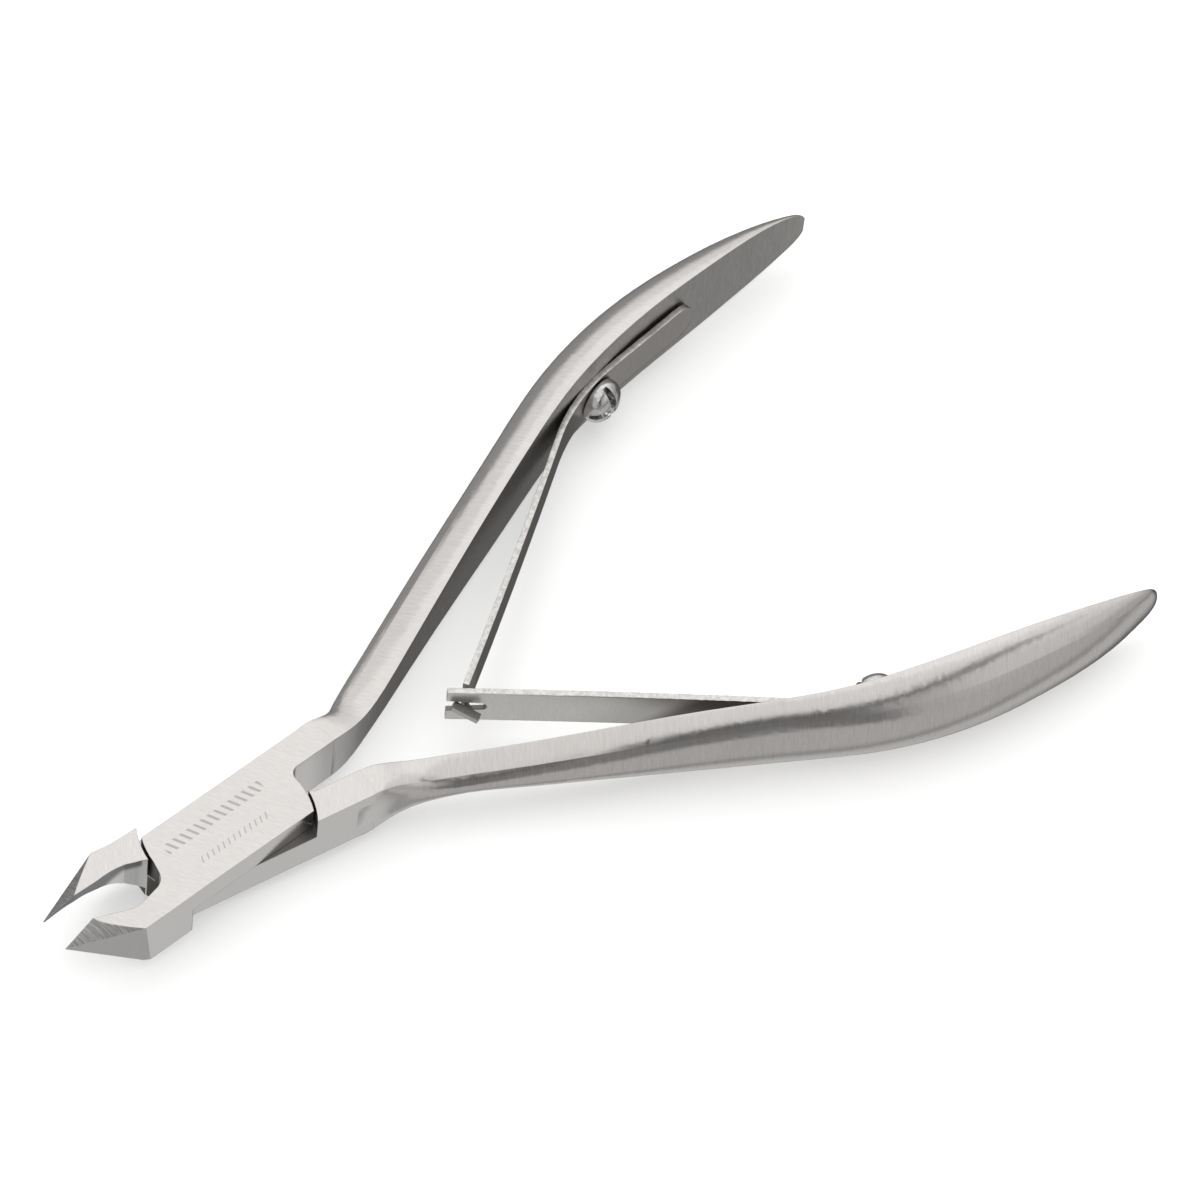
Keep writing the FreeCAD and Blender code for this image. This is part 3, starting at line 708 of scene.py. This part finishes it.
# ---------------------------------------------------------------- screws

SCREW_LEAN = 10.6                       # heading of the strip under the screw, on the bend
SCREW_Z = {LEFT: 2.65, RIGHT: 3.5}
SCREW_SEAT_GAP = 0.12                   # between the head's underside and the strip's face
HEAD_RADIUS = 2.15
HEAD_HEIGHT = 2.0
HEAD_RIM = 0.62
DOME_BASE = 0.5
SHANK_RADIUS = 1.0
SHANK_LENGTH = 1.2
RECESS_TURN = {LEFT: 3, RIGHT: 45}
UNDER_DOME = 0.955                      # points nearer the dome's centre than this share are in the recess
RECESS_RINGS = ((0.7, 2.2, 0.26), (2.4, 2.6, 0.46))     # height, half length and half width


def screw_place(side):
    """Matrix of the screw, its own +Z along its axis towards the other handle, at rest."""
    root, lean = math.radians(ROOT_ANGLE), math.radians(SCREW_LEAN)
    end = Vector((CORNER[0] + math.cos(root) * bend_reach(),
                  side * (CORNER[1] + math.sin(root) * bend_reach()), 0))
    centre = end - Vector((-math.sin(root), side * math.cos(root), 0)) * BEND_RADIUS
    outward = Vector((-math.sin(lean), side * math.cos(lean), 0))
    seat = BEND_RADIUS - THICKNESS / 2 - SCREW_SEAT_GAP
    base = centre + outward * seat + UP * SCREW_Z[side]
    turn = REST_TURN[side]
    axis = rotated(-outward, turn)
    across = UP.cross(axis)
    basis = Matrix((across, axis.cross(across), axis)).transposed().to_4x4()
    return Matrix.Translation(rotated(base, turn)) @ basis


def lathe(profile, steps):
    """Closed turned body from (radius, height) pairs that start and end on the axis."""
    bm = bmesh.new()
    rings = []
    for radius, height in profile:
        if radius < 1e-6:
            rings.append([bm.verts.new((0, 0, height))])
            continue
        angles = [2 * math.pi * i / steps for i in range(steps)]
        rings.append([bm.verts.new((radius * math.cos(a), radius * math.sin(a), height)) for a in angles])
    for low, high in zip(rings, rings[1:]):
        for i in range(steps):
            j = (i + 1) % steps
            corners = [low[i % len(low)], low[j % len(low)], high[j % len(high)], high[i % len(high)]]
            bm.faces.new(list(dict.fromkeys(corners)))
    bmesh.ops.recalc_face_normals(bm, faces=bm.faces)
    return bm


def head_profile():
    """Button head: short rim, deep dome, and a shank that goes through the strip."""
    foot_chamfer = 0.12
    dome_steps, dome_start = 14, 6
    points = [(0, -SHANK_LENGTH), (SHANK_RADIUS, -SHANK_LENGTH), (SHANK_RADIUS, 0)]
    points += [(HEAD_RADIUS - foot_chamfer, 0), (HEAD_RADIUS, foot_chamfer), (HEAD_RADIUS, HEAD_RIM)]
    for i in range(1, dome_steps):
        turn = math.radians(dome_start + (90 - dome_start) * i / dome_steps)
        height = DOME_BASE + (HEAD_HEIGHT - DOME_BASE) * math.sin(turn)
        points.append((HEAD_RADIUS * math.cos(turn), height))
    return points + [(0, HEAD_HEIGHT)]


def cross_cutter(angle):
    """Two tapered wings, worn wider at the top, as one tool for the driver's recess."""
    bm = bmesh.new()
    corners = ((-1, -1), (1, -1), (1, 1), (-1, 1))
    for turn in (angle, angle + 90):
        spin = Matrix.Rotation(math.radians(turn), 4, "Z")
        rings = []
        for z, length, width in RECESS_RINGS:
            rings.append([bm.verts.new(spin @ Vector((a * length, b * width, z))) for a, b in corners])
        bm.faces.new(rings[0][::-1])
        bm.faces.new(rings[1])
        for i in range(4):
            j = (i + 1) % 4
            bm.faces.new((rings[0][i], rings[0][j], rings[1][j], rings[1][i]))
    bmesh.ops.recalc_face_normals(bm, faces=bm.faces)
    return bm


def cut_and_soften(obj, tool):
    """The object's mesh with the tool cut out of it and its sharp edges rounded."""
    cut = obj.modifiers.new("recess", "BOOLEAN")
    cut.object = tool
    cut.solver = "EXACT"
    cut.use_self = True
    soften = obj.modifiers.new("soften", "BEVEL")
    soften.width = 0.07
    soften.segments = 3
    soften.limit_method = "ANGLE"
    soften.angle_limit = math.radians(35)
    bpy.context.view_layer.update()
    solid = bpy.data.meshes.new_from_object(obj.evaluated_get(bpy.context.evaluated_depsgraph_get()))
    obj.modifiers.clear()
    return solid


def in_recess(point):
    """Whether a point of the screw, in its own millimetres, lies well under the dome."""
    spread_share = math.hypot(point.x, point.y) / HEAD_RADIUS
    rise_share = (point.z - DOME_BASE) / (HEAD_HEIGHT - DOME_BASE)
    return rise_share > 0 and math.hypot(spread_share, rise_share) < UNDER_DOME


def screw_head(side, dome, recess):
    """Worn cross-head screw that replaces the model's plain one."""
    prefix = PREFIX[side]
    obj = object_from(lathe(head_profile(), 64), f"{prefix}_cross_screw")
    tool = object_from(cross_cutter(RECESS_TURN[side]), "cutter")
    solid = obj.data = cut_and_soften(obj, tool)
    bpy.data.objects.remove(tool)
    inner = [in_recess(face.center) for face in solid.polygons]
    solid.transform(Matrix.Scale(MM, 4) @ screw_place(side))
    solid.shade_smooth()
    solid.set_sharp_from_angle(angle=math.radians(40))
    solid.materials.clear()
    solid.materials.append(dome)
    solid.materials.append(recess)
    # The faces in the recess get the steel painted dark as shade.
    solid.polygons.foreach_set("material_index", inner)
    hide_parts(f"{prefix}_spring_screw")
    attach(obj, prefix)


# ---------------------------------------------------------------- stage, camera and light

def floor(z):
    """Plain pale floor just under the nipper, 6 m square."""
    half = 3.0
    corners = [(-half, -half, z), (half, -half, z), (half, half, z), (-half, half, z)]
    mesh = bpy.data.meshes.new("floor")
    mesh.from_pydata(corners, [], [(0, 1, 2, 3)])
    obj = bpy.data.objects.new("floor", mesh)
    bpy.context.scene.collection.objects.link(obj)
    material = bpy.data.materials.new("floor_paper")
    material.use_nodes = True
    shader = material.node_tree.nodes["Principled BSDF"]
    shader.inputs["Base Color"].default_value = (0.9, 0.9, 0.9, 1)
    shader.inputs["Roughness"].default_value = 0.9
    shader.inputs["Specular IOR Level"].default_value = 0.1
    mesh.materials.append(material)
    obj.visible_glossy = False


def camera():
    """View from the jaws' side, from above and far away, with the jaws at the lower left."""
    azimuth, elevation, roll = (math.radians(v) for v in (-43.547, 54.104, 7.506))
    distance, aside, upward, joint_middle = 700, 31.92, 20.68, 2.73
    back = Vector((math.sin(azimuth) * math.cos(elevation), -math.cos(azimuth) * math.cos(elevation),
                   math.sin(elevation)))
    right = Vector((math.cos(azimuth), math.sin(azimuth), 0))
    up = back.cross(right)
    across = math.cos(roll) * right + math.sin(roll) * up
    upright = -math.sin(roll) * right + math.cos(roll) * up
    place = (back * distance + across * aside + upright * upward + UP * joint_middle) * MM
    turn = Matrix((across, upright, back)).transposed()
    data = bpy.data.cameras.new("camera")
    data.sensor_width = 36
    data.lens = 242.89
    data.clip_end = 20
    obj = bpy.data.objects.new("camera", data)
    obj.matrix_world = Matrix.Translation(place) @ turn.to_4x4()
    bpy.context.scene.collection.objects.link(obj)
    bpy.context.scene.camera = obj


def area_light(name, direction, distance, size, radiance):
    """Soft square light aimed at the nipper. Distance and size are in metres, strength is radiance."""
    data = bpy.data.lights.new(name, "AREA")
    data.size = size
    data.energy = radiance * size * size * math.pi
    obj = bpy.data.objects.new(name, data)
    away = Vector(direction).normalized()
    nipper_middle = Vector((35, 0, 3)) * MM
    obj.location = nipper_middle + away * distance
    obj.rotation_euler = away.to_track_quat("Z", "Y").to_euler()
    bpy.context.scene.collection.objects.link(obj)
    return obj


def tone(level):
    """Slightly warm grey."""
    return tuple(level * c for c in (1.0, 0.993, 0.983))


def tent_colour(tree):
    """Light tent that the steel mirrors, by direction: X and Y, and height from -1 below to 1 above.

    It has a bright roof that ends at the brim, grey walls, and a dark floor with paler parts in front
    and right under the nipper. A black flag and a dark slit stand ahead, just below the brim.
    """
    way = tree.nodes.new("ShaderNodeTexCoord").outputs["Generated"]
    x, y, height = split(tree, way)
    ahead = smooth(tree, y, -0.1, -0.3)
    front = smooth(tree, dot(tree, way, (-0.30, -0.95, 0)), -0.15, 0.3)
    back = smooth(tree, dot(tree, way, (-0.1, 1, 0)), 0.45, 0.9)
    brim = dot(tree, way, (-0.61, 0.61, 0.51))
    sink = calc(tree, "MULTIPLY_ADD", x, -0.85, height)
    low_band = both(tree, front, inside(tree, sink, -0.96, -0.80, 0.06))
    low_front = both(tree, front, smooth(tree, sink, -0.98, -1.06))
    under = both(tree, smooth(tree, height, -0.86, -0.96), calc(tree, "SUBTRACT", 1.0, ahead))
    right = both(tree, ahead, smooth(tree, x, 0.0, 0.35), smooth(tree, brim, -0.09, -0.17),
                 smooth(tree, height, 0.15, 0.4))
    lobe = smooth(tree, dot(tree, way, (0.20, 0.42, 0.885)), 0.42, 0.7)
    roof = both(tree, smooth(tree, brim, 0.02, 0.13), smooth(tree, height, 0.5, 0.62),
                smooth(tree, x, -0.6, -0.42))
    flag = both(tree, ahead, inside(tree, x, -0.42, -0.1, 0.05), inside(tree, height, -0.02, 0.8, 0.06),
                smooth(tree, brim, 0.11, 0.04))
    slit = both(tree, ahead, inside(tree, brim, -0.08, 0.06, 0.05), smooth(tree, height, 0.4, 0.5))
    layers = (
        (back, 0.30),
        (front, 0.47),
        (low_band, 0.28),
        (low_front, 0.54),
        (under, 0.55),
        (right, 0.66),
        (calc(tree, "MAXIMUM", lobe, roof), 0.84),
        (flag, 0.16),
        (slit, 0.04),
    )
    colour = mix(tree, smooth(tree, height, -0.25, 0.15), tone(0.11), tone(0.45))
    for mask, level in layers:
        colour = mix(tree, mask, colour, tone(level))
    return colour


def lights():
    """The tent, a soft box overhead and a shadowless wash that keeps the floor pale."""
    area_light("overhead_softbox", (0.42, 0.46, 0.80), 1.2, 0.9, 0.2)
    wash = area_light("floor_wash", (0, 0, 1), 2.0, 3.0, 1.4)
    wash.visible_glossy = False
    wash.data.use_shadow = False
    world = bpy.data.worlds.new("studio")
    world.use_nodes = True
    background = world.node_tree.nodes["Background"]
    world.node_tree.links.new(tent_colour(world.node_tree), background.inputs["Color"])
    background.inputs["Strength"].default_value = 1.0
    bpy.context.scene.world = world
    bpy.context.scene.view_settings.view_transform = "Standard"


def assign(node, material):
    """Give a CAD node one material."""
    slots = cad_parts[node].data.materials
    slots.clear()
    slots.append(material)


assign("left_half", half_steel(LEFT))
assign("right_half", half_steel(RIGHT))
assign("pivot_rivet", rivet_steel())
# The second material is the screw steel painted dark as shade in the recess.
dome_steel, shaded_steel = screw_steel(), recess_painted_shade()
for hand in (LEFT, RIGHT):
    leaf_spring(hand)
    screw_head(hand, dome_steel, shaded_steel)

floor(CAD_BOX[0][2] - 0.02 * MM)
camera()
lights()
